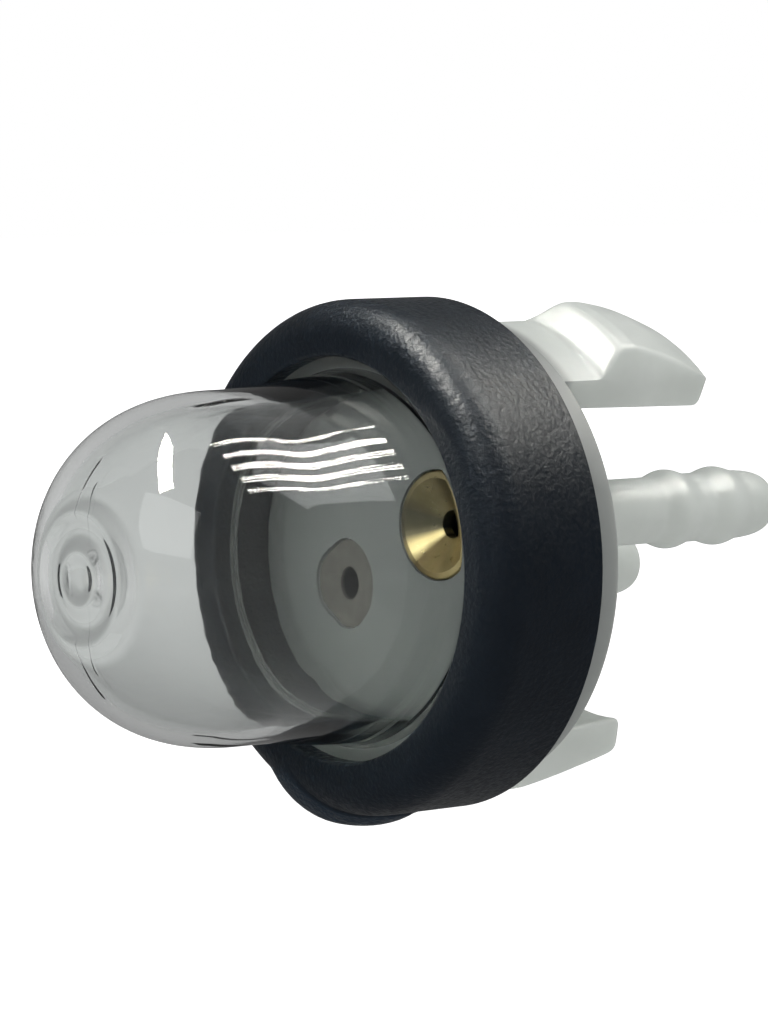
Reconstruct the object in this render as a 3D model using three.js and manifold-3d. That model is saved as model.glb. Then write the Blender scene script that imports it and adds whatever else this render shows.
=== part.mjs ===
// Snap-in primer bulb of a small petrol engine, in millimetres.
// The pump's axis is Y: the clear bulb points to -Y and the hose barbs to +Y, with +Z up.
// The origin is on the axis, in the plane of the ring's rear face, which seats on the panel.

import * as THREE from 'three';
import { mergeVertices } from 'three/addons/utils/BufferGeometryUtils.js';
import Module from 'manifold-3d';

const wasm = await Module();
wasm.setup();

// How finely round shapes are divided
const largeSides = 56;
const insertSides = 40;
const smallSides = 28;
const boreSides = 16;
const domeSteps = 10;
const filletSteps = 4;
const hookSteps = 3;
const barbSteps = 18;

// Clearances between separate pieces
const fitGap = 0.05;
const valveGap = 0.08;

// Retaining ring
const ringRadius = 11.05;
const ringLength = 5.7;
const ringFillet = 1.6;
const ringRimWall = 0.8;
const ringLipWidth = 0.9;
const ringHoleChamfer = 0.25;
const ringRearChamfer = 0.12;

// Moulding flash low on the ring: a shallow lump, slanting round from the front edge
const flashHeight = 0.8;
const flashAngle = 190;
const flashCentre = 3.6;
const flashLength = 9.0;
const flashWidth = 4.2;
const flashSlant = -24;
const flashDepth = 2.0;

// Pump body: boss in the ring, flange behind it
const flangeStep = 0.7;
const portFaceDepth = 2.45;
const flangeSink = 0.8;
const flangeBack = 1.6;
const flangeChamfer = 0.15;

// Bulb: its flange is held under the ring's lip, and its wall stands clear of the lip
const bulbFlangeClearance = 0.13;
const bulbFlangeThickness = 2.2;
const bulbLipClearance = 0.7;
const bulbRootFillet = 0.5;
const bulbTaper = 0.5;
const bulbShoulder = 11.4;
const bulbTip = 19.1;
const bulbFullness = 2.37;
const bulbWall = 0.6;
const dishRadius = 2.7;
const dishDepth = 0.16;
const dishSlope = 0.5;
const buttonRadius = 1.5;
const buttonHeight = 0.26;
const buttonSlope = 0.5;
const dimpleRadius = 1.0;
const dimpleDepth = 0.16;
const dimpleSlope = 0.45;
const innerDiscRadius = 3.5;
const innerDiscDepth = 0.1;

// The two ports lie opposite each other across the axis
const portOffset = 3.33;
const portAngle = 26.4;
const boreRadius = 0.65;

// Barbs: how far each tip is behind the panel seat, and the nozzle both share
const inletBarbTip = 16.5;
const outletBarbTip = 13.85;
const barbRadius = 1.47;
const ridgeRadius = 1.76;
const valleyRadius = 1.53;
const nozzleRadius = 1.0;
const nozzleLength = 1.9;
const nozzleFullness = 2.2;
const firstRidge = 2.8;
const ridgePitch = 2.9;
const ridgeReach = 1.2;

// Snap legs: direction from +Z towards +X, tip behind the seat, lean towards the axis
const upperLeg = { angle: 25.5, tip: 10.3, lean: 0 };
const lowerLeg = { angle: 194.5, tip: 10.7, lean: 3.5 };
const legInset = 0.08;
const legThickness = 1.4;
const legWidth = 5.45;
const hookStart = 3.6;
const hookRise = 1.35;
const hookTop = 0.75;
const hookHeight = 1.05;
const hookSideSlope = 0.55;
const tipInset = 0.27;
const tipChamfer = 0.35;
const legTaper = 0.2;

// Outlet valve: a duckbill of soft rubber
const valveRadius = 1.95;
const valveThickness = 0.9;
const valveSink = 0.12;
const valveMouthRadius = 0.745;
const billRadius = 1.22;
const billLength = 2.0;
const lipThickness = 0.5;
const slitWidth = 0.12;

// Brass insert of the inlet, with its conical mouth
const insertRadius = 2.3;
const insertLength = 2.3;
const insertChamfer = 0.12;
const mouthRadius = 2.0;
const coneDepth = 0.9;
const throatRadius = 0.6;
const throatLength = 0.5;
const chamberRadius = 1.5;

// Inlet valve: a rubber disc with a flap cut in it
const flapDiscRadius = 2.2;
const flapDiscThickness = 0.4;
const flapRadius = 1.05;
const flapCutWidth = 0.14;
const flapHingeWidth = 0.9;

// Cutters run this far past the surface that they cut
const overrun = 0.5;

// Radii that follow from the ring's, from the outside inwards
const flangeSeatRadius = ringRadius - ringRimWall;
const flangeRadius = flangeSeatRadius - fitGap;
const bossRadius = flangeRadius - flangeStep;
const ringBoreRadius = bossRadius + fitGap;
const ringHoleRadius = ringBoreRadius - ringLipWidth;
const bulbFlangeRadius = ringBoreRadius - bulbFlangeClearance;
const bulbRootRadius = ringHoleRadius - bulbLipClearance;
const bulbShoulderRadius = bulbRootRadius - bulbTaper;
const legRadius = flangeRadius - legInset;
const tipRadius = legRadius - tipInset;

// Places along Y that follow from the sizes above
const portFace = -portFaceDepth;
const bulbBase = portFace - fitGap;
const bulbFlangeFront = bulbBase - bulbFlangeThickness;
const ringLipRear = bulbFlangeFront - fitGap;
const ringFront = -ringLength;
const valveFace = portFace + valveSink;
const valveBack = valveFace + valveThickness;
const billTip = valveBack + billLength;
const insertBack = portFace + insertLength;
const flapFace = insertBack + fitGap;
const flapBack = flapFace + flapDiscThickness;

const point = (r, y) => new THREE.Vector2(r, y);
const radians = THREE.MathUtils.degToRad;

// Manifold solid of a closed three.js geometry
function toSolid(geometry) {
  const bare = geometry.clone();
  bare.deleteAttribute('normal');
  bare.deleteAttribute('uv');
  const merged = mergeVertices(bare);
  const corners = merged.index.array;
  const kept = [];
  for (let i = 0; i < corners.length; i += 3) {
    const [a, b, c] = corners.slice(i, i + 3);
    if (a !== b && b !== c && c !== a) kept.push(a, b, c);
  }
  return new wasm.Manifold(new wasm.Mesh({
    numProp: 3,
    vertProperties: new Float32Array(merged.attributes.position.array),
    triVerts: new Uint32Array(kept),
  }));
}

function toGeometry(solid) {
  const mesh = solid.getMesh();
  const geometry = new THREE.BufferGeometry();
  geometry.setAttribute('position', new THREE.BufferAttribute(mesh.vertProperties, 3));
  geometry.setIndex(new THREE.BufferAttribute(mesh.triVerts, 1));
  geometry.computeVertexNormals();
  return geometry;
}

// Solid of revolution about Y: the outline runs round the section, on the axis or clear of it
function turned(outline, sides = largeSides) {
  const points = THREE.ShapeUtils.isClockWise(outline) ? [...outline].reverse() : [...outline];
  const onAxis = points.findIndex((p, i) => p.x === 0 && points[(i + 1) % points.length].x === 0);
  if (onAxis < 0) {
    points.push(points[0]);
  } else {
    points.push(...points.splice(0, onAxis + 1));
  }
  return new THREE.LatheGeometry(points, sides);
}

function disc(radius, from, to, sides = smallSides) {
  return turned([point(0, from), point(radius, from), point(radius, to), point(0, to)], sides);
}

// Prism along Y of an outline drawn in X and Z
function prism(outline, from, to) {
  const shape = new THREE.Shape(outline);
  const geometry = new THREE.ExtrudeGeometry(shape, { depth: to - from, bevelEnabled: false });
  geometry.rotateX(Math.PI / 2);
  return geometry.translate(0, to, 0);
}

// Wedge across X that tapers along Y from one full thickness to another
function wedge(halfWidth, from, to, thicknessFrom, thicknessTo) {
  const shape = new THREE.Shape([
    point(-from, -thicknessFrom / 2), point(-to, -thicknessTo / 2),
    point(-to, thicknessTo / 2), point(-from, thicknessFrom / 2),
  ]);
  const geometry = new THREE.ExtrudeGeometry(shape, { depth: 2 * halfWidth, bevelEnabled: false });
  geometry.rotateX(Math.PI / 2);
  geometry.rotateZ(-Math.PI / 2);
  return geometry.translate(halfWidth, 0, 0);
}

// Points round an arc, given by its centre, radius, and start and end angle in degrees
function arc(r, y, radius, startAngle, endAngle, steps = filletSteps) {
  return Array.from({ length: steps + 1 }, (_, i) => {
    const angle = radians(startAngle + (endAngle - startAngle) * i / steps);
    return point(r + radius * Math.cos(angle), y + radius * Math.sin(angle));
  });
}

// Superellipse from the shoulder to the tip, in order of falling radius down to stopRadius
function dome(shoulderRadius, shoulder, tip, stopRadius) {
  const height = tip - shoulder;
  const heightAt = (r) => height * (1 - (r / shoulderRadius) ** bulbFullness) ** (1 / bulbFullness);
  const stopAngle = Math.acos((stopRadius / shoulderRadius) ** (bulbFullness / 2));
  return Array.from({ length: domeSteps + 1 }, (_, i) => {
    const r = shoulderRadius * Math.cos(stopAngle * i / domeSteps) ** (2 / bulbFullness);
    return point(r, -shoulder - heightAt(r));
  });
}

// Retaining ring, with the flash fused to its lower front edge
function makeRing() {
  const ring = toSolid(turned([
    point(ringRadius - ringRearChamfer, 0),
    point(ringRadius, -ringRearChamfer),
    ...arc(ringRadius - ringFillet, ringFront + ringFillet, ringFillet, 0, -90),
    point(ringHoleRadius + ringHoleChamfer, ringFront),
    point(ringHoleRadius, ringFront + ringHoleChamfer),
    point(ringHoleRadius, ringLipRear),
    point(ringBoreRadius, ringLipRear),
    point(ringBoreRadius, -flangeSink),
    point(flangeSeatRadius, -flangeSink),
    point(flangeSeatRadius, 0),
  ]));
  const lump = new THREE.SphereGeometry(1, smallSides, boreSides);
  lump.scale(flashLength / 2, flashWidth / 2, flashDepth);
  lump.rotateZ(radians(flashSlant));
  lump.translate(0, -flashCentre, ringRadius + flashHeight - flashDepth);
  lump.rotateY(radians(flashAngle));
  const core = disc(ringRadius - ringFillet / 2, ringFront - overrun, overrun, largeSides);
  const ahead = disc(ringRadius + flashDepth, ringFront - flashWidth, ringFront, largeSides);
  return ring.add(toSolid(lump).subtract(toSolid(core)).subtract(toSolid(ahead)));
}

function makeBulb() {
  const innerShoulderRadius = bulbShoulderRadius - bulbWall;
  const innerRootRadius = bulbRootRadius - bulbWall;
  const outer = dome(bulbShoulderRadius, bulbShoulder, bulbTip, dishRadius);
  const inner = dome(innerShoulderRadius, bulbShoulder, bulbTip - bulbWall, innerDiscRadius);
  const dishEdge = outer.at(-1).y;
  const dishFloor = dishEdge + dishDepth;
  const buttonTop = dishFloor - buttonHeight;
  const discFace = inner.at(-1).y - innerDiscDepth;
  const rootY = bulbFlangeFront - bulbRootFillet;
  return toSolid(turned([
    point(innerRootRadius, bulbBase),
    point(bulbFlangeRadius, bulbBase),
    point(bulbFlangeRadius, bulbFlangeFront),
    ...arc(bulbRootRadius + bulbRootFillet, rootY, bulbRootFillet, 90, 180),
    ...outer,
    point(dishRadius - dishSlope, dishFloor),
    point(buttonRadius + buttonSlope / 2, dishFloor),
    point(buttonRadius - buttonSlope / 2, buttonTop),
    point(dimpleRadius, buttonTop),
    point(dimpleRadius - dimpleSlope, buttonTop + dimpleDepth),
    point(0, buttonTop + dimpleDepth),
    point(0, discFace),
    point(innerDiscRadius, discFace),
    ...inner.reverse(),
  ]));
}

// Places a geometry made on the Y axis at a port: side 1 is the inlet, -1 the outlet
function atPort(geometry, side) {
  geometry.translate(side * portOffset, 0, 0);
  return geometry.rotateY(radians(-portAngle));
}

// Radius of a barb at a distance from its tip: two smooth ridges and a rounded nozzle
function barbRadiusAt(fromTip) {
  const core = fromTip > firstRidge + ridgePitch ? barbRadius : valleyRadius;
  const swells = [firstRidge, firstRidge + ridgePitch].map((ridge) => {
    const offset = Math.min(1, Math.abs(fromTip - ridge) / ridgeReach);
    return (1 + Math.cos(Math.PI * offset)) / 2;
  });
  const ridged = core + (ridgeRadius - core) * Math.max(...swells);
  const share = Math.min(1, fromTip / nozzleLength);
  const rounding = (1 - (1 - share) ** nozzleFullness) ** (1 / nozzleFullness);
  return nozzleRadius + (ridged - nozzleRadius) * rounding;
}

// Hose barb, buried a little in the flange
function barb(tip) {
  const root = flangeBack - overrun;
  const ridged = firstRidge + ridgePitch + ridgeReach;
  const flank = Array.from({ length: barbSteps + 1 }, (_, i) => {
    const fromTip = ridged * (1 - i / barbSteps);
    return point(barbRadiusAt(fromTip), tip - fromTip);
  });
  return turned([point(0, root), point(barbRadius, root), ...flank, point(0, tip)], smallSides);
}

// Snap leg: a piece of a turned hook profile, cut to width, leant and turned to its place
function leg({ angle, tip, lean }) {
  const inner = legRadius - legThickness;
  const hookRadius = legRadius + hookHeight;
  const buried = flangeBack - overrun;
  const swell = Array.from({ length: hookSteps + 1 }, (_, i) => {
    const share = i / hookSteps;
    return point(legRadius + hookHeight * Math.sin(share * Math.PI / 2), hookStart + hookRise * share);
  });
  const profile = turned([
    point(inner, buried),
    point(legRadius, buried),
    ...swell,
    point(hookRadius, hookStart + hookRise + hookTop),
    point(tipRadius, tip - tipChamfer),
    point(tipRadius - tipChamfer, tip),
    point(inner - legTaper + tipChamfer, tip),
    point(inner - legTaper, tip - tipChamfer),
  ]);
  const half = legWidth / 2;
  const top = hookRadius + overrun;
  const slope = hookSideSlope * (top - legRadius) / hookHeight;
  const blank = prism([
    point(-half, 0), point(half, 0), point(half, legRadius),
    point(half - slope, top), point(slope - half, top), point(-half, legRadius),
  ], buried - overrun, tip + overrun);
  const bar = toSolid(profile).intersect(toSolid(blank));
  const geometry = toGeometry(bar);
  geometry.translate(0, -flangeBack, -legRadius);
  geometry.rotateX(radians(-lean));
  geometry.translate(0, flangeBack, legRadius);
  return geometry.rotateY(radians(angle));
}

// Body: boss, flange, both barbs and both snap legs are one moulding
function makeBody() {
  let body = toSolid(turned([
    point(0, portFace),
    point(bossRadius, portFace),
    point(bossRadius, -flangeSink + fitGap),
    point(flangeRadius, -flangeSink + fitGap),
    point(flangeRadius, flangeBack - flangeChamfer),
    point(flangeRadius - flangeChamfer, flangeBack),
    point(0, flangeBack),
  ]));
  body = body.add(toSolid(atPort(barb(inletBarbTip), 1)));
  body = body.add(toSolid(atPort(barb(outletBarbTip), -1)));
  for (const place of [upperLeg, lowerLeg]) body = body.add(toSolid(leg(place)));

  const front = portFace - overrun;
  const cuts = [
    [disc(insertRadius + fitGap, front, flapBack + fitGap), 1],
    [disc(boreRadius, portFace, inletBarbTip + overrun, boreSides), 1],
    [disc(valveRadius + valveGap, front, valveBack + fitGap), -1],
    [disc(billRadius + valveGap, front, billTip + valveGap), -1],
    [disc(boreRadius, portFace, outletBarbTip + overrun, boreSides), -1],
  ];
  for (const [cutter, side] of cuts) body = body.subtract(toSolid(atPort(cutter, side)));
  return body;
}

// Duckbill: a flat disc with an open mouth, and a bill that narrows to a slit
function makeDuckbill() {
  const face = toSolid(disc(valveRadius, valveFace, valveBack));
  const tube = toSolid(disc(billRadius, valveBack - lipThickness, billTip));
  const taper = toSolid(wedge(
    billRadius + overrun, valveBack - lipThickness, billTip, 2 * billRadius, lipThickness));
  const hollow = toSolid(disc(valveMouthRadius, valveFace - overrun, billTip + overrun));
  const throat = toSolid(wedge(
    valveMouthRadius + overrun,
    valveFace - overrun,
    billTip + fitGap,
    2 * valveMouthRadius + overrun,
    slitWidth,
  ));
  return face.add(tube.intersect(taper)).subtract(hollow.intersect(throat));
}

// Turned brass insert: conical mouth, small throat, chamber for the flap behind
function makeInsert() {
  const coneEnd = portFace + coneDepth;
  const throatEnd = coneEnd + throatLength;
  return toSolid(turned([
    point(insertRadius - insertChamfer, portFace),
    point(insertRadius, portFace + insertChamfer),
    point(insertRadius, insertBack),
    point(chamberRadius, insertBack),
    point(chamberRadius, throatEnd),
    point(throatRadius, throatEnd),
    point(throatRadius, coneEnd),
    point(mouthRadius, portFace),
  ], insertSides));
}

// Rubber disc with a round flap that hangs on a narrow hinge
function makeFlap() {
  const plate = toSolid(disc(flapDiscRadius, flapFace, flapBack));
  const from = flapFace - overrun;
  const to = flapBack + overrun;
  const cut = toSolid(turned([
    point(flapRadius, from), point(flapRadius + flapCutWidth, from),
    point(flapRadius + flapCutWidth, to), point(flapRadius, to),
  ], smallSides));
  const half = flapHingeWidth / 2;
  const hinge = toSolid(prism([
    point(-half, 0), point(half, 0), point(half, flapDiscRadius), point(-half, flapDiscRadius),
  ], from - overrun, to + overrun));
  return plate.subtract(cut.subtract(hinge));
}

function part(name, solid, look) {
  const mesh = new THREE.Mesh(toGeometry(solid), new THREE.MeshStandardMaterial(look));
  mesh.name = name;
  return mesh;
}

const clearPlastic = { color: 0xd9dcd8, roughness: 0.08, metalness: 0, transparent: true, opacity: 0.35 };
const blackPlastic = { color: 0x14171d, roughness: 0.42, metalness: 0 };
const whiteNylon = { color: 0xdfe3dc, roughness: 0.45, metalness: 0 };
const beigeRubber = { color: 0x9a9383, roughness: 0.75, metalness: 0 };
const blackRubber = { color: 0x26282a, roughness: 0.8, metalness: 0 };
const brass = { color: 0xb59a58, roughness: 0.28, metalness: 1 };

const primer = new THREE.Group();
primer.add(part('primer_bulb', makeBulb(), clearPlastic));
primer.add(part('retaining_ring', makeRing(), blackPlastic));
primer.add(part('pump_body', makeBody(), whiteNylon));

// The ports' own pieces are made on the axis and set in place by this turned group
const ports = new THREE.Group();
ports.rotation.y = radians(-portAngle);
primer.add(ports);

const inlet = new THREE.Group();
inlet.position.x = portOffset;
inlet.add(part('brass_insert', makeInsert(), brass));
inlet.add(part('inlet_valve', makeFlap(), blackRubber));
ports.add(inlet);

const outlet = new THREE.Group();
outlet.position.x = -portOffset;
outlet.add(part('outlet_valve', makeDuckbill(), beigeRubber));
ports.add(outlet);

export default primer;
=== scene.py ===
import math

import bpy
import bmesh
from mathutils import Matrix, Vector


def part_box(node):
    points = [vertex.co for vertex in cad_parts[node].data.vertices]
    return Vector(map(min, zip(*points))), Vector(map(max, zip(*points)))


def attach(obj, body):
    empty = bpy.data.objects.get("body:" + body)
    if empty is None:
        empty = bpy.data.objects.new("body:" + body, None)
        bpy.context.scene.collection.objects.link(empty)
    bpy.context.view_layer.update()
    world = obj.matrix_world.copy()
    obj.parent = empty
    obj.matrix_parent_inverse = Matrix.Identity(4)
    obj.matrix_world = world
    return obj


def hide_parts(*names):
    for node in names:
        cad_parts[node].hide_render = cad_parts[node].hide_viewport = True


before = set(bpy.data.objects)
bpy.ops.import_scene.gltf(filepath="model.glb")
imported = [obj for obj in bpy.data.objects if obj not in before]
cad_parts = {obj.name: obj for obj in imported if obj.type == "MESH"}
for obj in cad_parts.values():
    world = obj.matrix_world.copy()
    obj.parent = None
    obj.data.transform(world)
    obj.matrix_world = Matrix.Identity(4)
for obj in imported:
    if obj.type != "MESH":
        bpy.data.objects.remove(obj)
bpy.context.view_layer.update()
mm = 0.001


# Small tools for meshes

def newPiece(name, bm, material, slotName, replaced=None):
    mesh = bpy.data.meshes.new(name)
    bmesh.ops.recalc_face_normals(bm, faces=bm.faces)
    bm.to_mesh(mesh)
    bm.free()
    piece = bpy.data.objects.new(name, mesh)
    bpy.context.scene.collection.objects.link(piece)
    mesh.materials.append(material)
    mesh.shade_smooth()
    if replaced:
        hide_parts(replaced)
    if slotName:
        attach(piece, "root")
    return piece


def arcPoints(r, y, radius, startAngle, endAngle, steps):
    points = []
    for i in range(steps + 1):
        angle = math.radians(startAngle + (endAngle - startAngle) * i / steps)
        points.append((r + radius * math.cos(angle), y + radius * math.sin(angle)))
    return points


def evenAngles(count):
    return [2 * math.pi * i / count for i in range(count)]


def lathe(outline, angles, push=None, turn=None):
    # outline: (radius, y) in mm round the section; points on the axis become one vertex each
    # push lifts a point outwards, which is kept as "raised", and turn shifts it round the axis
    bm = bmesh.new()
    raised = bm.verts.layers.float.new("raised")
    rings = []
    for r, y in outline:
        if r < 1e-6:
            rings.append([bm.verts.new((0, y * mm, 0))])
            continue
        ring = []
        for angle in angles:
            lift = push(r, y, angle) if push else 0
            turned = angle + (turn(r, y) * math.cos(angle) if turn else 0)
            place = Vector((math.sin(turned), 0, math.cos(turned))) * (r + lift) + Vector((0, y, 0))
            vertex = bm.verts.new(place * mm)
            vertex[raised] = lift
            ring.append(vertex)
        rings.append(ring)
    for k in range(len(rings)):
        first, second = rings[k], rings[(k + 1) % len(rings)]
        for i in range(len(angles)):
            j = (i + 1) % len(angles)
            here, there = i % len(second), j % len(second)
            unique = []
            for corner in (first[i % len(first)], first[j % len(first)], second[there], second[here]):
                if corner not in unique:
                    unique.append(corner)
            if len(unique) > 2:
                bm.faces.new(unique)
    return bm


cornerShare = 0.45  # the most that one rounded corner takes of an edge's length


def bend(start, corner, end, steps):
    # points of a soft curve from start to end, drawn towards the corner
    points = []
    for k in range(steps + 1):
        t = k / steps
        points.append(tuple(start * (1 - t) ** 2 + corner * 2 * t * (1 - t) + end * t * t))
    return points


def roundedOutline(points, radius, steps):
    # the closed outline with each corner cut to a small curve; points are (a, b) pairs
    result = []
    count = len(points)
    for i in range(count):
        before, here, after = (Vector(points[(i + k) % count]) for k in (-1, 0, 1))
        toBefore, toAfter = before - here, after - here
        reach = min(radius, toBefore.length * cornerShare, toAfter.length * cornerShare)
        start, end = here + toBefore.normalized() * reach, here + toAfter.normalized() * reach
        result += bend(start, here, end, steps)
    return result


def applyModifiers(piece):
    graph = bpy.context.evaluated_depsgraph_get()
    mesh = bpy.data.meshes.new_from_object(piece.evaluated_get(graph))
    piece.modifiers.clear()
    piece.data = mesh


def combine(piece, other, operation):
    modifier = piece.modifiers.new(operation.lower(), "BOOLEAN")
    modifier.operation = operation
    modifier.solver = "EXACT"
    modifier.object = other
    bpy.context.view_layer.update()
    applyModifiers(piece)
    bpy.data.objects.remove(other)


def smoothByAngle(piece, degrees):
    for polygon in piece.data.polygons:
        polygon.use_smooth = True
    piece.data.set_sharp_from_angle(angle=math.radians(degrees))


# Small tools for materials

def newMaterial(name):
    material = bpy.data.materials.new(name)
    material.use_nodes = True
    shader = material.node_tree.nodes["Principled BSDF"]
    return material, material.node_tree, shader


def addNode(tree, kind, values=None, **settings):
    node = tree.nodes.new(kind)
    for key, value in settings.items():
        setattr(node, key, value)
    for key, value in (values or {}).items():
        node.inputs[key].default_value = value
    return node


def objectNoise(tree, scale, detail=3.0, roughness=0.5, stretch=(1, 1, 1)):
    place = addNode(tree, "ShaderNodeTexCoord")
    mapping = addNode(tree, "ShaderNodeMapping", {"Scale": stretch})
    noise = addNode(tree, "ShaderNodeTexNoise", {"Scale": scale, "Detail": detail, "Roughness": roughness})
    tree.links.new(place.outputs["Object"], mapping.inputs["Vector"])
    tree.links.new(mapping.outputs["Vector"], noise.inputs["Vector"])
    return noise


def ramp(tree, source, stops):
    node = addNode(tree, "ShaderNodeValToRGB")
    elements = node.color_ramp.elements
    while len(elements) < len(stops):
        elements.new(0.5)
    for element, (position, colour) in zip(elements, stops):
        element.position = position
        element.color = (*colour, 1)
    tree.links.new(source, node.inputs["Fac"])
    return node


def bump(tree, shader, height, strength, distance):
    node = addNode(tree, "ShaderNodeBump", {"Strength": strength, "Distance": distance})
    tree.links.new(height, node.inputs["Height"])
    tree.links.new(node.outputs["Normal"], shader.inputs["Normal"])


def grey(value):
    return (value, value, value)


# Camera at the photograph's viewing angle

cameraPlace = {
    "azimuth": 50.762,  # degrees round from -Y towards +X
    "elevation": 4.924,
    "distance": 190.98,  # mm from the pivot
    "pivot": (0, -6, 0),
    "right": 2.501,  # mm of sideways and upward offset that frames the object
    "up": 2.054,
    "lens": 158.2,
    "sensor": 36,
}


def makeCamera(place):
    a, e = math.radians(place["azimuth"]), math.radians(place["elevation"])
    back = Vector((math.sin(a) * math.cos(e), -math.cos(a) * math.cos(e), math.sin(e)))
    right = Vector((math.cos(a), math.sin(a), 0))
    up = back.cross(right)
    where = Vector(place["pivot"]) + back * place["distance"] + right * place["right"] + up * place["up"]
    data = bpy.data.cameras.new("camera")
    data.lens = place["lens"]
    data.sensor_width = place["sensor"]
    data.clip_start, data.clip_end = 0.001, 20
    camera = bpy.data.objects.new("camera", data)
    bpy.context.scene.collection.objects.link(camera)
    camera.matrix_world = Matrix.Translation(where * mm) @ Matrix((right, up, back)).transposed().to_4x4()
    bpy.context.scene.camera = camera


makeCamera(cameraPlace)
print("camera placed")


# Clear bulb: one thick shell of revolution, with a stepped tip and a thin parting line

bulb = {
    "segments": 200,
    "wallRows": 24,
    "wall": 0.6,
    "contact": 0.1,  # the soft flange is pressed this far against the body, with no air under it
    "flangeThickness": 2.2,
    "rootClearance": 1.47,  # the wall's outside stands this far inside the flange's edge
    "easedRows": 0.4,  # share of the wall over which its taper runs out into the dome
    "rootFillet": 0.5,
    "taper": 0.5,
    "shoulder": 11.4,
    "tip": 19.1,
    "fullness": 2.37,
    "dishRadius": 2.7,
    "dishDepth": 0.16,
    "dishSlope": 0.5,
    "buttonRadius": 1.5,
    "buttonHeight": 0.22,
    "buttonSlope": 0.56,
    "dimpleRadius": 1.0,
    "dimpleDepth": 0.16,
    "dimpleSlope": 0.45,
    "innerDiscRadius": 3.5,
    "innerDiscDepth": 0.1,
    "innerDiscSlope": 0.35,
    "edge": 0.2,
    "edgeSteps": 4,
    "seamHeight": 0.05,
    "seamWidth": 0.1,
    "seamFade": 1.5,  # from the shoulder towards the tip, the parting line rises over this length
    "seamTipDepth": 1.36,  # it runs over all that lies this close to the tip
    "seamOffset": -0.4,  # where the parting line crosses the tip, along X
    "seamSlant": 0.44,  # and how far it leaves that place for each mm behind the tip
    "seamReach": 5.5,
}


def domeOutline(shoulderRadius, tip, stopRadius, steps=48):
    height = tip - bulb["shoulder"]
    power = bulb["fullness"]
    stopAngle = math.acos((stopRadius / shoulderRadius) ** (power / 2))
    points = []
    for i in range(steps + 1):
        r = shoulderRadius * math.cos(stopAngle * i / steps) ** (2 / power)
        points.append((r, -bulb["shoulder"] - height * (1 - (r / shoulderRadius) ** power) ** (1 / power)))
    return points


def wallLine(start, end):
    # the tapered wall; the taper runs out before the dome, so that no crease bends the view
    rows, eased = bulb["wallRows"], bulb["easedRows"]
    points = []
    for i in range(rows + 1):
        t = i / rows
        share = t if t < 1 - eased else t - (t - 1 + eased) ** 2 / (2 * eased)
        share /= 1 - eased / 2
        points.append((start[0] + (end[0] - start[0]) * share, start[1] + (end[1] - start[1]) * t))
    return points


def smoothSteps(points, radius):
    # rounds every corner of an open outline; its ends stay
    result = [points[0]]
    for before, here, after in zip(points, points[1:], points[2:]):
        before, here, after = Vector(before), Vector(here), Vector(after)
        reachIn = min(radius, (before - here).length * cornerShare)
        reachOut = min(radius, (after - here).length * cornerShare)
        start = here + (before - here).normalized() * reachIn
        end = here + (after - here).normalized() * reachOut
        result += bend(start, here, end, bulb["edgeSteps"])
    return result + [points[-1]]


def clearPlastic():
    material, tree, shader = newMaterial("clearPlastic")
    seam = addNode(tree, "ShaderNodeAttribute", attribute_name="raised")
    clear, dark = (0.90, 0.92, 0.91), (0.30, 0.32, 0.32)
    tint = ramp(tree, seam.outputs["Fac"], [(0.0, clear), (bulb["seamHeight"], dark)])
    tree.links.new(tint.outputs["Color"], shader.inputs["Base Color"])
    shader.inputs["Transmission Weight"].default_value = 1
    shader.inputs["IOR"].default_value = 1.47
    shader.inputs["Specular IOR Level"].default_value = 0.35
    noise = objectNoise(tree, 900, 2, 0.5, (1, 0.12, 1))
    spots = ramp(tree, noise.outputs["Fac"], [(0.3, grey(0.015)), (0.75, grey(0.05))])
    tree.links.new(spots.outputs["Color"], shader.inputs["Roughness"])
    ripple = objectNoise(tree, 260, 3, 0.55, (1, 0.25, 1))
    bump(tree, shader, ripple.outputs["Fac"], 0.06, 0.0003)
    lamps = addNode(tree, "ShaderNodeLightPath")
    through = addNode(tree, "ShaderNodeBsdfTransparent", {"Color": (0.66, 0.68, 0.67, 1)})
    either = addNode(tree, "ShaderNodeMixShader")
    output = tree.nodes["Material Output"]
    tree.links.new(lamps.outputs["Is Shadow Ray"], either.inputs["Fac"])
    tree.links.new(shader.outputs["BSDF"], either.inputs[1])
    tree.links.new(through.outputs["BSDF"], either.inputs[2])
    tree.links.new(either.outputs["Shader"], output.inputs["Surface"])
    return material


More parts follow.
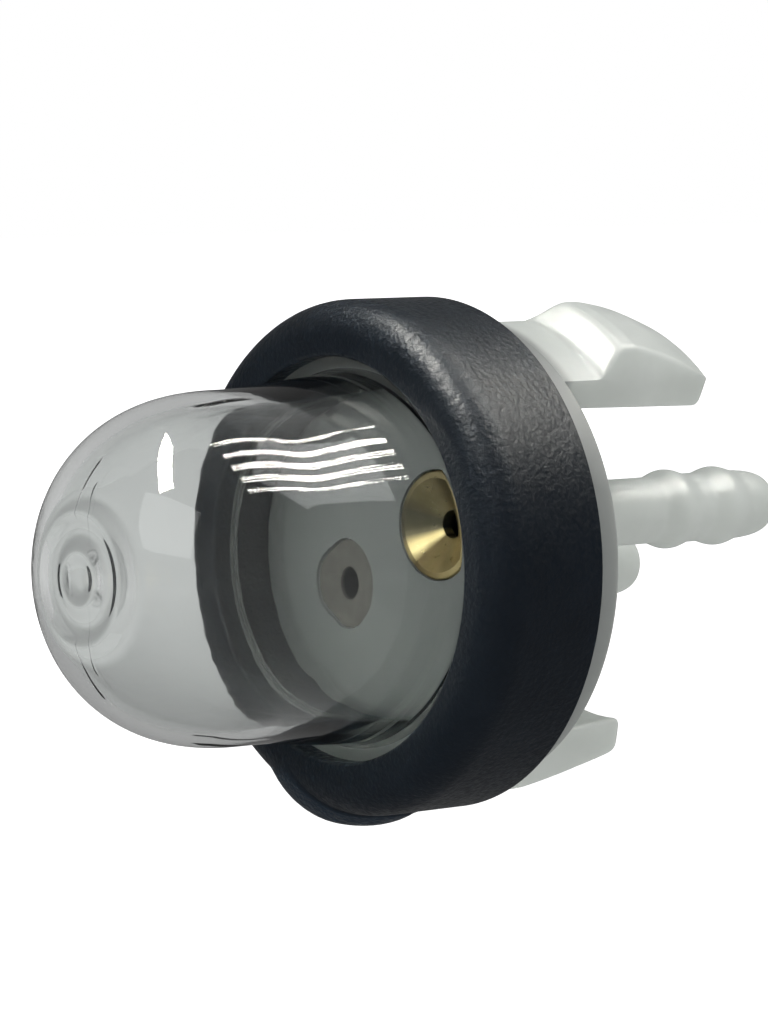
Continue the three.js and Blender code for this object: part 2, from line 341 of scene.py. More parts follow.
def makeBulb():
    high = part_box("primer_bulb")[1] / mm
    flangeRadius, base = high.x, high.y + bulb["contact"]
    flangeFront = high.y - bulb["flangeThickness"]
    rootRadius = flangeRadius - bulb["rootClearance"]
    shoulderRadius = rootRadius - bulb["taper"]
    outer = domeOutline(shoulderRadius, bulb["tip"], bulb["dishRadius"])
    inner = domeOutline(shoulderRadius - bulb["wall"], bulb["tip"] - bulb["wall"], bulb["innerDiscRadius"])
    dishFloor = outer[-1][1] + bulb["dishDepth"]
    buttonTop = dishFloor - bulb["buttonHeight"]
    discFace = inner[-1][1] - bulb["innerDiscDepth"]
    tipSteps = smoothSteps([
        outer[-1],
        (bulb["dishRadius"] - bulb["dishSlope"], dishFloor),
        (bulb["buttonRadius"] + bulb["buttonSlope"] / 2, dishFloor),
        (bulb["buttonRadius"] - bulb["buttonSlope"] / 2, buttonTop),
        (bulb["dimpleRadius"], buttonTop),
        (bulb["dimpleRadius"] - bulb["dimpleSlope"], buttonTop + bulb["dimpleDepth"]),
        (0, buttonTop + bulb["dimpleDepth"]),
    ], bulb["edge"])
    innerSteps = smoothSteps([
        (0, discFace), (bulb["innerDiscRadius"] - bulb["innerDiscSlope"], discFace), inner[-1]], bulb["edge"])
    fillet = bulb["rootFillet"]
    outline = [
        *reversed(wallLine((rootRadius - bulb["wall"], base), inner[0])),
        (flangeRadius, base),
        (flangeRadius, flangeFront),
        *arcPoints(rootRadius + fillet, flangeFront - fillet, fillet, 90, 180, 8),
        *wallLine((rootRadius, flangeFront - fillet), outer[0])[1:-1],
        *outer[:-1],
        *tipSteps,
        *innerSteps,
        *reversed(inner[1:-1]),
    ]
    seams = (0, math.pi)
    angles = evenAngles(bulb["segments"])
    for seam in seams:
        for step in (-1, -0.5, 0, 0.5, 1):
            angles.append((seam + step * bulb["seamWidth"] / shoulderRadius) % (2 * math.pi))
    angles = sorted(set(angles))

    def seamPush(r, y, angle):
        outside = y < flangeFront - fillet and r > bulb["dishRadius"]
        wall = r > shoulderRadius - bulb["wall"] / 2 or y < -bulb["tip"] + bulb["seamTipDepth"]
        if not (outside and wall):
            return 0
        gaps = [abs((angle - seam + math.pi) % (2 * math.pi) - math.pi) * shoulderRadius for seam in seams]
        share = max(0, 1 - min(gaps) / bulb["seamWidth"])
        fade = min(1, max(0, (-y - bulb["shoulder"]) / bulb["seamFade"]))
        return bulb["seamHeight"] * share * fade

    def seamTurn(r, y):
        behind = min(max(0, y + bulb["tip"]), bulb["seamReach"])
        aside = bulb["seamOffset"] + bulb["seamSlant"] * behind
        return aside / max(r, bulb["dishRadius"])

    bm = lathe(outline, angles, seamPush, seamTurn)
    return newPiece("clearBulb", bm, clearPlastic(), "clear_bulb", "primer_bulb")


smoothByAngle(makeBulb(), 35)
print("bulb made")


# Black retaining ring, with the moulding flash low on its front

ring = {
    "segments": 240,
    "sideRows": 24,
    "fillet": 1.6,
    "rimWall": 0.8,
    "lipWidth": 0.9,
    "flangeStep": 0.7,
    "lipDepth": 4.75,  # the lip's rear face, in front of the panel seat
    "sink": 0.8,
    "holeEdge": 0.2,
    "rearEdge": 0.12,
    "flashHeight": 0.8,
    "flashAngle": 190,  # degrees round from +Z towards +X
    "flashCentre": 3.6,
    "flashLength": 9.0,
    "flashWidth": 4.2,
    "flashSlant": -24,
    "flashDepth": 2.0,
}


def blackPlastic():
    material, tree, shader = newMaterial("blackPlastic")
    tone = objectNoise(tree, 320, 5, 0.6)
    navy, slate = (0.0028, 0.0065, 0.0120), (0.0050, 0.0095, 0.0160)
    colour = ramp(tree, tone.outputs["Fac"], [(0.35, navy), (0.7, slate)])
    lump = addNode(tree, "ShaderNodeAttribute", attribute_name="raised")
    onFlash = ramp(tree, lump.outputs["Fac"], [(0.02, grey(0)), (0.15, grey(1))])
    pale = addNode(tree, "ShaderNodeMix", data_type="RGBA")
    pale.inputs["B"].default_value = (0.012, 0.021, 0.033, 1)
    tree.links.new(onFlash.outputs["Color"], pale.inputs["Factor"])
    tree.links.new(colour.outputs["Color"], pale.inputs["A"])
    tree.links.new(pale.outputs["Result"], shader.inputs["Base Color"])
    grain = objectNoise(tree, 4200, 3, 0.5)
    polish = ramp(tree, grain.outputs["Fac"], [(0.35, grey(0.34)), (0.68, grey(0.50))])
    tree.links.new(polish.outputs["Color"], shader.inputs["Roughness"])
    shader.inputs["Specular IOR Level"].default_value = 0.22
    folds = objectNoise(tree, 900, 3, 0.6, (1, 0.4, 2))
    ridged = addNode(tree, "ShaderNodeMath", operation="MULTIPLY")
    tree.links.new(folds.outputs["Fac"], ridged.inputs[0])
    tree.links.new(onFlash.outputs["Color"], ridged.inputs[1])
    height = addNode(tree, "ShaderNodeMath", {1: 6.0}, operation="MULTIPLY_ADD")
    tree.links.new(ridged.outputs["Value"], height.inputs[0])
    tree.links.new(grain.outputs["Fac"], height.inputs[2])
    bump(tree, shader, height.outputs["Value"], 0.7, 0.00006)
    return material


def makeRing():
    low, high = (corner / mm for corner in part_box("retaining_ring"))
    radius, front = high.x, low.y
    flangeSeat = radius - ring["rimWall"]
    bore = flangeSeat - ring["flangeStep"]
    hole = bore - ring["lipWidth"]
    rear = ring["rearEdge"]
    edge = ring["holeEdge"]
    rows = ring["sideRows"]
    side = [(radius, -rear + (front + ring["fillet"] + rear) * i / rows) for i in range(rows)]
    outline = [
        (radius - rear, 0),
        *side,
        *arcPoints(radius - ring["fillet"], front + ring["fillet"], ring["fillet"], 0, -90, 14),
        *arcPoints(hole + edge, front + edge, edge, -90, -180, 5),
        (hole, -ring["lipDepth"]),
        (bore, -ring["lipDepth"]),
        (bore, -ring["sink"]),
        (flangeSeat, -ring["sink"]),
        (flangeSeat, 0),
    ]
    slant = math.radians(ring["flashSlant"])

    def flashPush(r, y, angle):
        if r < radius - ring["fillet"]:
            return 0
        turn = (angle - math.radians(ring["flashAngle"]) + math.pi) % (2 * math.pi) - math.pi
        across, along = turn * radius, y + ring["flashCentre"]
        s = across * math.cos(slant) + along * math.sin(slant)
        t = along * math.cos(slant) - across * math.sin(slant)
        reach = 1 - (2 * s / ring["flashLength"]) ** 2 - (2 * t / ring["flashWidth"]) ** 2
        if reach <= 0:
            return 0
        height = ring["flashDepth"] * math.sqrt(reach) - (ring["flashDepth"] - ring["flashHeight"])
        return max(0, height)

    bm = lathe(outline, evenAngles(ring["segments"]), flashPush)
    return newPiece("blackRing", bm, blackPlastic(), "black_ring", "retaining_ring")


smoothByAngle(makeRing(), 40)
print("ring made")


# White body: boss, flange, barbs and snap legs in one moulding

body = {
    "segments": 160,
    "edge": 0.12,
    "portDepth": 2.45,
    "flangeStep": 0.7,
    "flangeSink": 0.75,
    "flangeBack": 1.6,
    "portOffset": 3.33,
    "portAngle": 26.4,
    "boreRadius": 0.65,
    "insertRadius": 2.3,
    "insertPocket": 2.83,
    "valveRadius": 1.95,
    "valvePocket": 1.07,
    "billRadius": 1.22,
    "billPocket": 3.1,
    "clearance": 0.06,
    "overlap": 0.5,  # barbs and legs start this far inside the flange, cutters this far ahead
    "flangeShadeFade": 0.7,  # behind the flange, the painted shade on the flange, boss and front face goes over into the plain nylon over this length
    "faceDepth": 0.1,  # the darker painted shade of the front face, inside the bulb, reaches this far back
}

barbShape = {
    "inletTip": 16.5,
    "outletTip": 13.85,
    "radius": 1.47,
    "ridge": 1.76,
    "valley": 1.53,
    "nozzle": 1.0,
    "firstRidge": 2.8,
    "pitch": 2.9,
    "ridgeReach": 1.2,
    "nose": 1.9,
    "fullness": 2.2,
    "mouthEdge": 0.15,  # the bore is this much wider at the very tip
    "mouthDepth": 0.12,
    "rows": 70,
    "segments": 64,
}

legShape = {
    "upper": {"angle": 25.5, "tip": 10.3, "lean": 0},
    "lower": {"angle": 194.5, "tip": 10.7, "lean": 3.5},
    "radius": 10.12,
    "thickness": 1.4,
    "width": 5.45,
    "hookStart": 3.55,
    "hookRise": 1.5,
    "hookTop": 0.65,
    "hookHeight": 1.05,
    "sideSlope": 0.55,
    "tipRadius": 9.85,
    "taper": 0.2,
    "corner": 1.1,
    "cornerSteps": 6,
    "tipRounding": 0.6,
    "tipRows": 6,
    "belly": 0.12,  # share of its drop by which the hook's rear slope bulges
    "shoulderDrop": 0.05,
    "columns": 8,
    "rows": 60,
}


def whiteNylon():
    material, tree, shader = newMaterial("whiteNylon")
    cloud = objectNoise(tree, 170, 4, 0.55)
    colour = ramp(tree, cloud.outputs["Fac"], [(0.3, (0.60, 0.635, 0.60)), (0.7, (0.71, 0.745, 0.71))])
    place = addNode(tree, "ShaderNodeTexCoord")
    parts = addNode(tree, "ShaderNodeSeparateXYZ")
    tree.links.new(place.outputs["Object"], parts.inputs["Vector"])
    # painted shade: the flange, boss and front face, which lie behind the black ring and the bulb, are
    # painted darker than the legs and barbs
    shadedFlange = addNode(tree, "ShaderNodeMapRange", {
        "From Min": body["flangeBack"] * mm,
        "From Max": (body["flangeBack"] + body["flangeShadeFade"]) * mm,
    }, interpolation_type="SMOOTHSTEP")
    tree.links.new(parts.outputs["Y"], shadedFlange.inputs["Value"])
    shade = addNode(tree, "ShaderNodeMix", data_type="RGBA")
    shade.inputs["A"].default_value = (0.30, 0.315, 0.305, 1)
    tree.links.new(shadedFlange.outputs["Result"], shade.inputs["Factor"])
    tree.links.new(colour.outputs["Color"], shade.inputs["B"])
    # painted shade: the front face inside the bulb is painted darker still
    shadedFaceEnd = (body["faceDepth"] - body["portDepth"]) * mm
    front = addNode(tree, "ShaderNodeMath", {1: shadedFaceEnd}, operation="LESS_THAN")
    tree.links.new(parts.outputs["Y"], front.inputs[0])
    shadedFace = addNode(tree, "ShaderNodeMix", data_type="RGBA")
    shadedFace.inputs["B"].default_value = (0.185, 0.195, 0.195, 1)
    tree.links.new(front.outputs["Value"], shadedFace.inputs["Factor"])
    tree.links.new(shade.outputs["Result"], shadedFace.inputs["A"])
    tree.links.new(shadedFace.outputs["Result"], shader.inputs["Base Color"])
    grain = objectNoise(tree, 1400, 4, 0.6)
    polish = ramp(tree, grain.outputs["Fac"], [(0.3, grey(0.34)), (0.7, grey(0.5))])
    tree.links.new(polish.outputs["Color"], shader.inputs["Roughness"])
    shader.inputs["Subsurface Weight"].default_value = 0.45
    shader.inputs["Subsurface Radius"].default_value = (1.0, 1.0, 0.95)
    shader.inputs["Subsurface Scale"].default_value = 0.0012
    wave = objectNoise(tree, 300, 3, 0.5)
    bump(tree, shader, wave.outputs["Fac"], 0.3, 0.0003)
    return material


def atPort(piece, side):
    piece.data.transform(
        Matrix.Rotation(math.radians(-body["portAngle"]), 4, "Y")
        @ Matrix.Translation((side * body["portOffset"] * mm, 0, 0)))
    return piece


def discMesh(radius, start, end, segments=64):
    return lathe([(0, start), (radius, start), (radius, end), (0, end)], evenAngles(segments))


def loose(name, bm, material):
    return newPiece(name, bm, material, None)


def barbOutline(tip):
    shape = barbShape
    second = shape["firstRidge"] + shape["pitch"]
    rows = shape["rows"]
    buried = body["flangeBack"] - body["overlap"]
    points = [(0, buried), (shape["radius"], buried)]
    last = tip - second - shape["ridgeReach"]
    for i in range(rows + 1):
        y = last + (tip - last) * i / rows
        fromTip = tip - y
        offset = min(abs(fromTip - centre) for centre in (shape["firstRidge"], second)) / shape["ridgeReach"]
        swell = 0.5 + 0.5 * math.cos(math.pi * min(offset, 1))
        core = shape["radius"] if fromTip > second else shape["valley"]
        r = core + (shape["ridge"] - core) * swell
        if fromTip < shape["nose"]:
            ease = (1 - (1 - fromTip / shape["nose"]) ** shape["fullness"]) ** (1 / shape["fullness"])
            r = shape["nozzle"] + (r - shape["nozzle"]) * ease
        points.append((r, y))
    bore = body["boreRadius"]
    floor = tip - shape["mouthDepth"]
    return points + [(bore + shape["mouthEdge"], tip), (bore, floor), (0, floor)]


def legMesh(place):
    shape = legShape
    inner = shape["radius"] - shape["thickness"]
    buried = body["flangeBack"] - body["overlap"]
    hookEnd = shape["hookStart"] + shape["hookRise"] + shape["hookTop"]
    half = shape["width"] / 2

    def outerAt(y):
        if y <= shape["hookStart"]:
            return shape["radius"]
        if y <= shape["hookStart"] + shape["hookRise"]:
            t = (y - shape["hookStart"]) / shape["hookRise"]
            return shape["radius"] + shape["hookHeight"] * t * t * (3 - 2 * t)
        top = shape["radius"] + shape["hookHeight"]
        if y <= hookEnd:
            return top
        t = (y - hookEnd) / (place["tip"] - hookEnd)
        return top + (shape["tipRadius"] - top) * (t - shape["belly"] * math.sin(math.pi * t))

    def section(y, inset):
        outer = outerAt(y) - inset
        innerHere = inner - shape["taper"] * max(0, y - buried) / (place["tip"] - buried) + inset
        halfHere = half - inset
        slope = shape["sideSlope"] * max(0, outer - shape["radius"]) / shape["hookHeight"]
        across = [2 * k / shape["columns"] - 1 for k in range(shape["columns"] + 1)]
        edges = [(halfHere * share, innerHere) for share in across]
        top = [((slope - halfHere) * share, outer) for share in across]
        points = [(x, math.sqrt(max(r * r - x * x, 0.01))) for x, r in edges]
        shoulder = min(shape["radius"], outer - shape["shoulderDrop"])
        points.append((halfHere, math.sqrt(shoulder ** 2 - halfHere ** 2)))
        points += [(x, math.sqrt(r * r - x * x)) for x, r in top]
        points.append((-halfHere, math.sqrt(shoulder ** 2 - halfHere ** 2)))
        return roundedOutline(points, shape["corner"], shape["cornerSteps"])

    rows, straight = shape["rows"], place["tip"] - shape["tipRounding"] - buried
    stations = [(buried + straight * i / rows, 0) for i in range(rows + 1)]
    for i in range(1, shape["tipRows"] + 1):
        angle = math.pi / 2 * i / shape["tipRows"]
        y = place["tip"] - shape["tipRounding"] * (1 - math.sin(angle))
        stations.append((y, shape["tipRounding"] * (1 - math.cos(angle))))
    bm = bmesh.new()
    rings = [[bm.verts.new((x * mm, y * mm, z * mm)) for x, z in section(y, inset)] for y, inset in stations]
    for first, second in zip(rings, rings[1:]):
        for i in range(len(first)):
            j = (i + 1) % len(first)
            bm.faces.new((first[i], first[j], second[j], second[i]))
    bm.faces.new(rings[0])
    bm.faces.new(rings[-1])
    pivot = Vector((0, body["flangeBack"] * mm, shape["radius"] * mm))
    bm.transform(Matrix.Translation(-pivot))
    bm.transform(Matrix.Rotation(math.radians(-place["lean"]), 4, "X"))
    bm.transform(Matrix.Translation(pivot))
    bm.transform(Matrix.Rotation(math.radians(place["angle"]), 4, "Y"))
    return bm


def makeBody():
    flangeRadius = (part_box("pump_body")[1] / mm).x
    bossRadius = flangeRadius - body["flangeStep"]
    front, back, edge = -body["portDepth"], body["flangeBack"], body["edge"]
    material = whiteNylon()
    outline = [
        (0, front),
        *arcPoints(bossRadius - edge, front + edge, edge, -90, 0, 4),
        (bossRadius, -body["flangeSink"]),
        (flangeRadius, -body["flangeSink"]),
        *arcPoints(flangeRadius - edge, back - edge, edge, 0, 90, 4),
        (0, back),
    ]
    bm = lathe(outline, evenAngles(body["segments"]))
    piece = newPiece("pumpBody", bm, material, "white_body", "pump_body")
    for side, tip in ((1, barbShape["inletTip"]), (-1, barbShape["outletTip"])):
        barb = loose("barb", lathe(barbOutline(tip), evenAngles(barbShape["segments"])), material)
        combine(piece, atPort(barb, side), "UNION")
    for which in ("upper", "lower"):
        combine(piece, loose("leg", legMesh(legShape[which]), material), "UNION")
    clearance = body["clearance"]
    ahead = front - body["overlap"]
    cuts = [
        (body["insertRadius"] + clearance, front + body["insertPocket"], 1),
        (body["valveRadius"] + clearance, front + body["valvePocket"], -1),
        (body["billRadius"] + clearance, front + body["billPocket"], -1),
        (body["boreRadius"], barbShape["inletTip"] + 1, 1),
        (body["boreRadius"], barbShape["outletTip"] + 1, -1),
    ]
    for radius, depth, side in cuts:
        combine(piece, atPort(loose("cutter", discMesh(radius, ahead, depth), material), side), "DIFFERENCE")
    smoothByAngle(piece, 38)


makeBody()
print("body made")


# Turned brass insert of the inlet

insert = {
    "segments": 128,
    "radius": 2.3,
    "length": 2.3,
    "edge": 0.12,
    "mouth": 2.0,
    "coneDepth": 0.9,
    "throat": 0.6,
    "throatLength": 0.5,
    "chamber": 1.5,
    "paintedReflection": [  # share of a turn from -X, down and round, and the brass colour with its painted reflection there
        (0.0, (0.13, 0.12, 0.08)),
        (0.045, (0.15, 0.13, 0.08)),
        (0.08, (0.62, 0.50, 0.24)),
        (0.11, (0.72, 0.60, 0.30)),
        (0.15, (0.20, 0.15, 0.07)),
        (0.24, (0.38, 0.29, 0.13)),
        (0.34, (0.62, 0.50, 0.25)),
        (0.5, (0.45, 0.36, 0.18)),
        (0.75, (0.34, 0.28, 0.15)),
        (0.9, (0.27, 0.23, 0.13)),
        (0.955, (0.14, 0.13, 0.09)),
        (1.0, (0.13, 0.12, 0.08)),
    ],
}


def brass():
    # turned cone: brass colour with a painted reflection that changes round the axis, and a dark wedge of
    # painted reflection on one side
    material, tree, shader = newMaterial("brass")
    shader.inputs["Metallic"].default_value = 1
    turn = math.radians(body["portAngle"])
    middle = (body["portOffset"] * math.cos(turn) * mm, 0, body["portOffset"] * math.sin(turn) * mm)
    place = addNode(tree, "ShaderNodeTexCoord")
    shift = addNode(tree, "ShaderNodeVectorMath", {1: middle}, operation="SUBTRACT")
    tree.links.new(place.outputs["Object"], shift.inputs[0])
    parts = addNode(tree, "ShaderNodeSeparateXYZ")
    tree.links.new(shift.outputs["Vector"], parts.inputs["Vector"])
    angle = addNode(tree, "ShaderNodeMath", operation="ARCTAN2")
    tree.links.new(parts.outputs["Z"], angle.inputs[0])
    tree.links.new(parts.outputs["X"], angle.inputs[1])
    around = addNode(tree, "ShaderNodeMapRange", {"From Min": -math.pi, "From Max": math.pi})
    tree.links.new(angle.outputs["Value"], around.inputs["Value"])
    # painted reflection: the colour round the axis stands in for the surroundings mirrored in the cone
    colour = ramp(tree, around.outputs["Result"], insert["paintedReflection"])
    cloud = objectNoise(tree, 700, 4, 0.6)
    worn = addNode(tree, "ShaderNodeMix", {"Factor": 0.45}, data_type="RGBA", blend_type="MULTIPLY")
    tree.links.new(colour.outputs["Color"], worn.inputs["A"])
    mottle = ramp(tree, cloud.outputs["Fac"], [(0.35, grey(0.55)), (0.65, grey(1.0))])
    tree.links.new(mottle.outputs["Color"], worn.inputs["B"])
    tree.links.new(worn.outputs["Result"], shader.inputs["Base Color"])
    grain = objectNoise(tree, 2500, 4, 0.6)
    polish = ramp(tree, grain.outputs["Fac"], [(0.3, grey(0.26)), (0.7, grey(0.42))])
    tree.links.new(polish.outputs["Color"], shader.inputs["Roughness"])
    bump(tree, shader, grain.outputs["Fac"], 0.2, 0.00004)
    return material


def makeInsert():
    front = -body["portDepth"]
    coneEnd = front + insert["coneDepth"]
    throatEnd = coneEnd + insert["throatLength"]
    back = front + insert["length"]
    outline = [
        *arcPoints(insert["radius"] - insert["edge"], front + insert["edge"], insert["edge"], -90, 0, 4),
        (insert["radius"], back),
        (insert["chamber"], back),
        (insert["chamber"], throatEnd),
        (insert["throat"], throatEnd),
        (insert["throat"], coneEnd),
        (insert["mouth"], front),
    ]
    bm = lathe(outline, evenAngles(insert["segments"]))
    piece = newPiece("brassInsert", bm, brass(), "brass", "brass_insert")
    smoothByAngle(atPort(piece, 1), 30)


makeInsert()
print("insert made")


# Rubber valves keep their model shape and get their finish, with painted shade behind their front faces

valves = {
    "outletFace": -2.3,  # mm along Y, where each valve's front face ends
    "inletFace": 0.5,
    "fade": 0.25,  # the face goes over into the painted shade inside over this length
}


def rubber(name, darker, lighter, grainScale, faceDepth):
    # painted shade: little light reaches what lies behind the front face, so it is painted near black
    material, tree, shader = newMaterial(name)
    speckle = objectNoise(tree, grainScale, 5, 0.7)
    colour = ramp(tree, speckle.outputs["Fac"], [(0.3, darker), (0.7, lighter)])
    place = addNode(tree, "ShaderNodeTexCoord")
    parts = addNode(tree, "ShaderNodeSeparateXYZ")
    tree.links.new(place.outputs["Object"], parts.inputs["Vector"])
    depth = addNode(tree, "ShaderNodeMapRange", {
        "From Min": faceDepth * mm, "From Max": (faceDepth + valves["fade"]) * mm})
    tree.links.new(parts.outputs["Y"], depth.inputs["Value"])
    shade = addNode(tree, "ShaderNodeMix", data_type="RGBA")
    shade.inputs["B"].default_value = (0.003, 0.004, 0.005, 1)
    tree.links.new(depth.outputs["Result"], shade.inputs["Factor"])
    tree.links.new(colour.outputs["Color"], shade.inputs["A"])
    tree.links.new(shade.outputs["Result"], shader.inputs["Base Color"])
    shader.inputs["Roughness"].default_value = 0.7
    bump(tree, shader, speckle.outputs["Fac"], 0.3, 0.00005)
    return material


def dressNode(name, material):
    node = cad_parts[name]
    node.data.materials.clear()
    node.data.materials.append(material)


beige = rubber("beigeRubber", (0.085, 0.08, 0.07), (0.125, 0.12, 0.107), 1800, valves["outletFace"])
black = rubber("blackRubber", (0.012, 0.013, 0.014), (0.03, 0.031, 0.033), 1500, valves["inletFace"])
dressNode("outlet_valve", beige)
dressNode("inlet_valve", black)
print("valves dressed")


# Floor, world and lamps

studio = {
    "floorHeight": -32,  # mm, well under the part, which is held by its mount
    "floorSize": 3000,
    "ambient": 0.42,
    "glossy": 0.12,
    "throughGlass": 0.68,  # what the clear bulb shows of the background at the horizon
    "throughGlassHigh": 0.50,  # and high up
    "skyLow": 0.05,  # heights of the view at which these two hold
    "skyHigh": 0.6,
    "insideGlass": 0.07,  # light that reaches the pieces inside through the bulb
    "floorTone": 0.9,
    "floorThroughGlass": 0.22,
    "floorFarThroughGlass": 0.54,
    "floorInGloss": 0.28,
    "fadeStart": 0.05,  # m from the middle, where the floor begins to go over into plain white
    "fadeEnd": 0.32,
    "nearLift": 0.45,  # how much the floor glows for the camera before that
    "panelDirection": (0.30, 0.55, 0.78),
    "panelDistance": 260,
    "panelSize": (170, 150),
    "panelPower": 0.25,
    "stripAngles": (0, 1.6, 9.8, 11, 12.6, 19, 20.3, 22, 28, 29.4, 31.2, 37, 38.5),  # degrees from +Z
    "stripWidths": (1.5, 1.0, 1.4, 2.2, 1.2, 1.4, 2.6, 1.6, 1.2, 2.2, 1.4, 1.6, 1.2),
    "stripFront": 0.05,  # share of the strips' direction along +Y, at their two ends
    "stripBack": 0.68,
    "stripDistance": 240,
    "stripRows": 60,
    "stripGlow": 130,
    "feather": ((-0.41, -0.09, 0.91), (-0.20, -0.24, 0.95), (0.14, -0.62, 0.77), (0.03, -0.72, 0.69)),
    "cardAngles": (-24, 44),
    "cardFront": 0.36,
    "cardEdge": 0.585,  # behind this share along +Y the card is bright, before it dim
    "cardBack": 0.78,
    "cardFade": (-4, 12),  # mm from that edge, between which the glow changes
    "cardGlow": (0.30, 0.5),
    "cardGrid": (24, 24),
    "glossMiddle": -10,  # mm along Y, the place over which the tubes and the card hang
    "lampMiddle": -8,
    "fillDirection": (0.2, -0.85, 0.5),
    "fillDistance": 320,
    "fillSize": (260, 200),
    "fillPower": 0.42,
}


def lamp(name, direction, distance, size, power):
    data = bpy.data.lights.new(name, "AREA")
    data.shape = "RECTANGLE"
    data.size, data.size_y = size[0] * mm, size[1] * mm
    data.energy = power
    light = bpy.data.objects.new(name, data)
    bpy.context.scene.collection.objects.link(light)
    direction = Vector(direction).normalized()
    light.location = direction * distance * mm + Vector((0, studio["lampMiddle"] * mm, 0))
    light.rotation_mode = "QUATERNION"
    light.rotation_quaternion = direction.to_track_quat("Z", "Y")
    light.visible_glossy = False  # the card and the tubes stand for them in the gloss


def glowMaterial(name, colour, strengthFrom):
    material = bpy.data.materials.new(name)
    material.use_nodes = True
    tree = material.node_tree
    tree.nodes.remove(tree.nodes["Principled BSDF"])
    glow = addNode(tree, "ShaderNodeEmission", {"Color": (*colour, 1)})
    tree.links.new(strengthFrom(tree), glow.inputs["Strength"])
    tree.links.new(glow.outputs["Emission"], tree.nodes["Material Output"].inputs["Surface"])
    return material


def glossOnly(piece):
    for ray in ("camera", "diffuse", "transmission", "shadow", "volume_scatter"):
        setattr(piece, "visible_" + ray, False)


def overhead(angle, along, distance):
    # a place over the part: degrees round its axis from +Z, and the direction's share along +Y
    reach = math.sqrt(1 - along * along)
    turn = math.radians(angle)
    direction = Vector((math.sin(turn) * reach, along, math.cos(turn) * reach))
    return (direction * distance + Vector((0, studio["glossMiddle"], 0))) * mm


def brokenGlow(tree):
    patches = objectNoise(tree, 95, 4, 0.75)
    level = ramp(tree, patches.outputs["Fac"], [(0.40, grey(0.0)), (0.54, grey(1.0))])
    strength = addNode(tree, "ShaderNodeMath", {1: studio["stripGlow"]}, operation="MULTIPLY")
    tree.links.new(level.outputs["Color"], strength.inputs[0])
    return strength.outputs["Value"]


def hangTubes():
    # narrow bright tubes over the part, seen only as broken streaks in its gloss
    bm = bmesh.new()
    rows = studio["stripRows"]
    for angle, width in zip(studio["stripAngles"], studio["stripWidths"]):
        turn = math.radians(angle)
        across = Vector((math.cos(turn), 0, -math.sin(turn))) * width / 2 * mm
        edges = []
        for i in range(rows + 1):
            along = studio["stripFront"] + (studio["stripBack"] - studio["stripFront"]) * i / rows
            middle = overhead(angle, along, studio["stripDistance"])
            edges.append([bm.verts.new(middle + across * side) for side in (-1, 1)])
        for first, second in zip(edges, edges[1:]):
            bm.faces.new((first[0], first[1], second[1], second[0]))
    reach = studio["stripDistance"] * mm
    bm.faces.new([bm.verts.new(Vector(corner) * reach) for corner in studio["feather"]])
    glossOnly(newPiece("tubes", bm, glowMaterial("tubeGlow", (1, 0.98, 0.9), brokenGlow), None))


def cardGlow(tree):
    place = addNode(tree, "ShaderNodeTexCoord")
    parts = addNode(tree, "ShaderNodeSeparateXYZ")
    tree.links.new(place.outputs["Object"], parts.inputs["Vector"])
    edge = studio["cardEdge"] * studio["panelDistance"] + studio["glossMiddle"]
    before, behind = studio["cardFade"]
    dim, bright = studio["cardGlow"]
    level = addNode(tree, "ShaderNodeMapRange", {
        "From Min": (edge + before) * mm, "From Max": (edge + behind) * mm, "To Min": dim, "To Max": bright})
    tree.links.new(parts.outputs["Y"], level.inputs["Value"])
    return level.outputs["Result"]


def hangCard():
    # the soft light as the gloss shows it: bright at its rear, faint at its front
    bm = bmesh.new()
    columns, rows = studio["cardGrid"]
    first, last = studio["cardAngles"]
    front, back = studio["cardFront"], studio["cardBack"]
    grid = []
    for i in range(rows + 1):
        along = front + (back - front) * i / rows
        angles = [first + (last - first) * k / columns for k in range(columns + 1)]
        grid.append([bm.verts.new(overhead(angle, along, studio["panelDistance"])) for angle in angles])
    for near, far in zip(grid, grid[1:]):
        for k in range(columns):
            bm.faces.new((near[k], near[k + 1], far[k + 1], far[k]))
    glossOnly(newPiece("card", bm, glowMaterial("cardGlow", (1, 1, 1), cardGlow), None))


def makeWorld():
    world = bpy.data.worlds.new("studio")
    bpy.context.scene.world = world
    world.use_nodes = True
    tree = world.node_tree
    background = tree.nodes["Background"]
    path = addNode(tree, "ShaderNodeLightPath")
    level = addNode(tree, "ShaderNodeMix", {"A": studio["ambient"], "B": studio["glossy"]})
    tree.links.new(path.outputs["Is Glossy Ray"], level.inputs["Factor"])
    place = addNode(tree, "ShaderNodeTexCoord")
    parts = addNode(tree, "ShaderNodeSeparateXYZ")
    tree.links.new(place.outputs["Generated"], parts.inputs["Vector"])
    height = addNode(tree, "ShaderNodeMapRange", {
        "From Min": studio["skyLow"], "From Max": studio["skyHigh"],
        "To Min": studio["throughGlass"], "To Max": studio["throughGlassHigh"]})
    tree.links.new(parts.outputs["Z"], height.inputs["Value"])
    inside = addNode(tree, "ShaderNodeMix", {"B": studio["insideGlass"]})
    tree.links.new(path.outputs["Diffuse Depth"], inside.inputs["Factor"])
    tree.links.new(height.outputs["Result"], inside.inputs["A"])
    glass = addNode(tree, "ShaderNodeMix")
    tree.links.new(path.outputs["Is Transmission Ray"], glass.inputs["Factor"])
    tree.links.new(level.outputs["Result"], glass.inputs["A"])
    tree.links.new(inside.outputs["Result"], glass.inputs["B"])
    shown = addNode(tree, "ShaderNodeMix", {"B": 1.0})
    tree.links.new(path.outputs["Is Camera Ray"], shown.inputs["Factor"])
    tree.links.new(glass.outputs["Result"], shown.inputs["A"])
    tree.links.new(shown.outputs["Result"], background.inputs["Strength"])
    background.inputs["Color"].default_value = (1, 1, 1, 1)


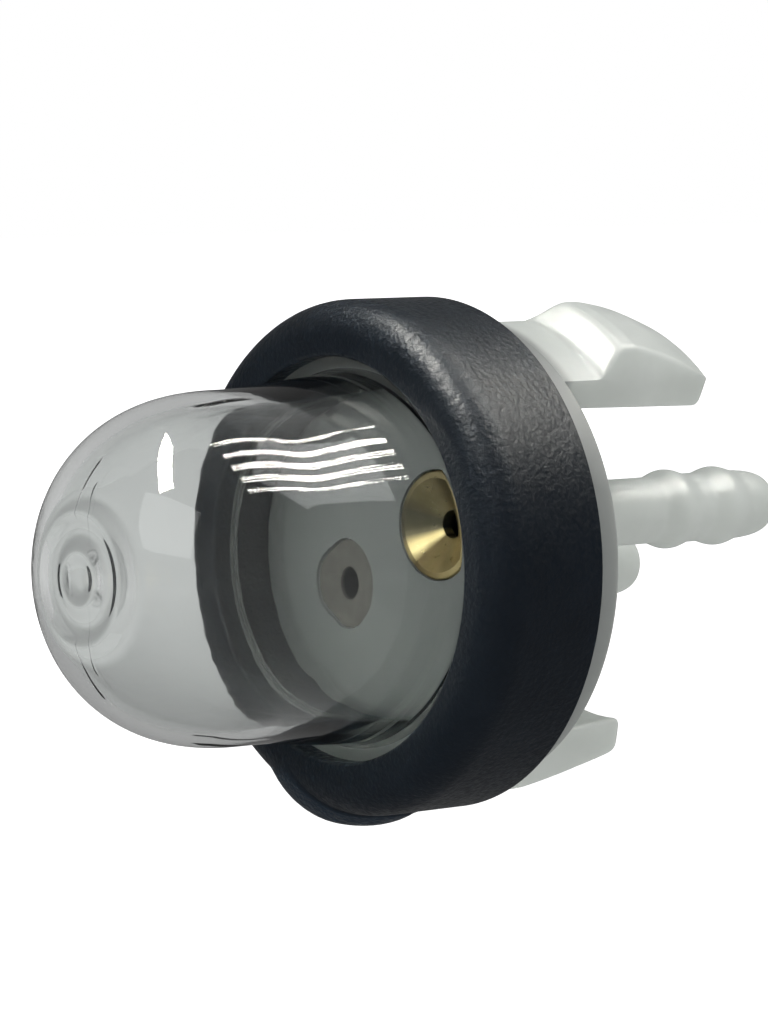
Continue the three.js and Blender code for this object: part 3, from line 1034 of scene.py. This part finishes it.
def makeFloor():
    bm = bmesh.new()
    bmesh.ops.create_grid(bm, x_segments=8, y_segments=8, size=studio["floorSize"] / 2 * mm)
    for vertex in bm.verts:
        vertex.co.z = studio["floorHeight"] * mm
    material, tree, shader = newMaterial("paleFloor")
    shader.inputs["Roughness"].default_value = 1
    shader.inputs["Specular IOR Level"].default_value = 0
    path = addNode(tree, "ShaderNodeLightPath")
    place = addNode(tree, "ShaderNodeTexCoord")
    away = addNode(tree, "ShaderNodeVectorMath", operation="LENGTH")
    tree.links.new(place.outputs["Object"], away.inputs[0])
    fade = addNode(tree, "ShaderNodeMapRange", {
        "From Min": studio["fadeStart"], "From Max": studio["fadeEnd"],
        "To Min": studio["nearLift"], "To Max": 1.0,
    }, interpolation_type="SMOOTHSTEP")
    tree.links.new(away.outputs["Value"], fade.inputs["Value"])
    lift = addNode(tree, "ShaderNodeMath", operation="MULTIPLY")
    tree.links.new(path.outputs["Is Camera Ray"], lift.inputs[0])
    tree.links.new(fade.outputs["Result"], lift.inputs[1])
    far = addNode(tree, "ShaderNodeMath", {1: studio["floorFarThroughGlass"]}, operation="MULTIPLY")
    tree.links.new(fade.outputs["Result"], far.inputs[0])
    seen = addNode(tree, "ShaderNodeMath", operation="MULTIPLY_ADD")
    tree.links.new(far.outputs["Value"], seen.inputs[0])
    tree.links.new(path.outputs["Is Transmission Ray"], seen.inputs[1])
    tree.links.new(lift.outputs["Value"], seen.inputs[2])
    shader.inputs["Emission Color"].default_value = (1, 1, 1, 1)
    tree.links.new(seen.outputs["Value"], shader.inputs["Emission Strength"])
    gloss = addNode(tree, "ShaderNodeMix", data_type="RGBA")
    gloss.inputs["A"].default_value = (*grey(studio["floorTone"]), 1)
    gloss.inputs["B"].default_value = (*grey(studio["floorInGloss"]), 1)
    tree.links.new(path.outputs["Is Glossy Ray"], gloss.inputs["Factor"])
    tone = addNode(tree, "ShaderNodeMix", data_type="RGBA")
    tree.links.new(gloss.outputs["Result"], tone.inputs["A"])
    tone.inputs["B"].default_value = (*grey(studio["floorThroughGlass"]), 1)
    tree.links.new(path.outputs["Is Transmission Ray"], tone.inputs["Factor"])
    tree.links.new(tone.outputs["Result"], shader.inputs["Base Color"])
    floor = newPiece("floor", bm, material, None)


makeWorld()
makeFloor()
lamp("panel", studio["panelDirection"], studio["panelDistance"], studio["panelSize"], studio["panelPower"])
lamp("fill", studio["fillDirection"], studio["fillDistance"], studio["fillSize"], studio["fillPower"])
hangTubes()
hangCard()
bpy.context.scene.view_settings.view_transform = "Standard"
print("studio ready")
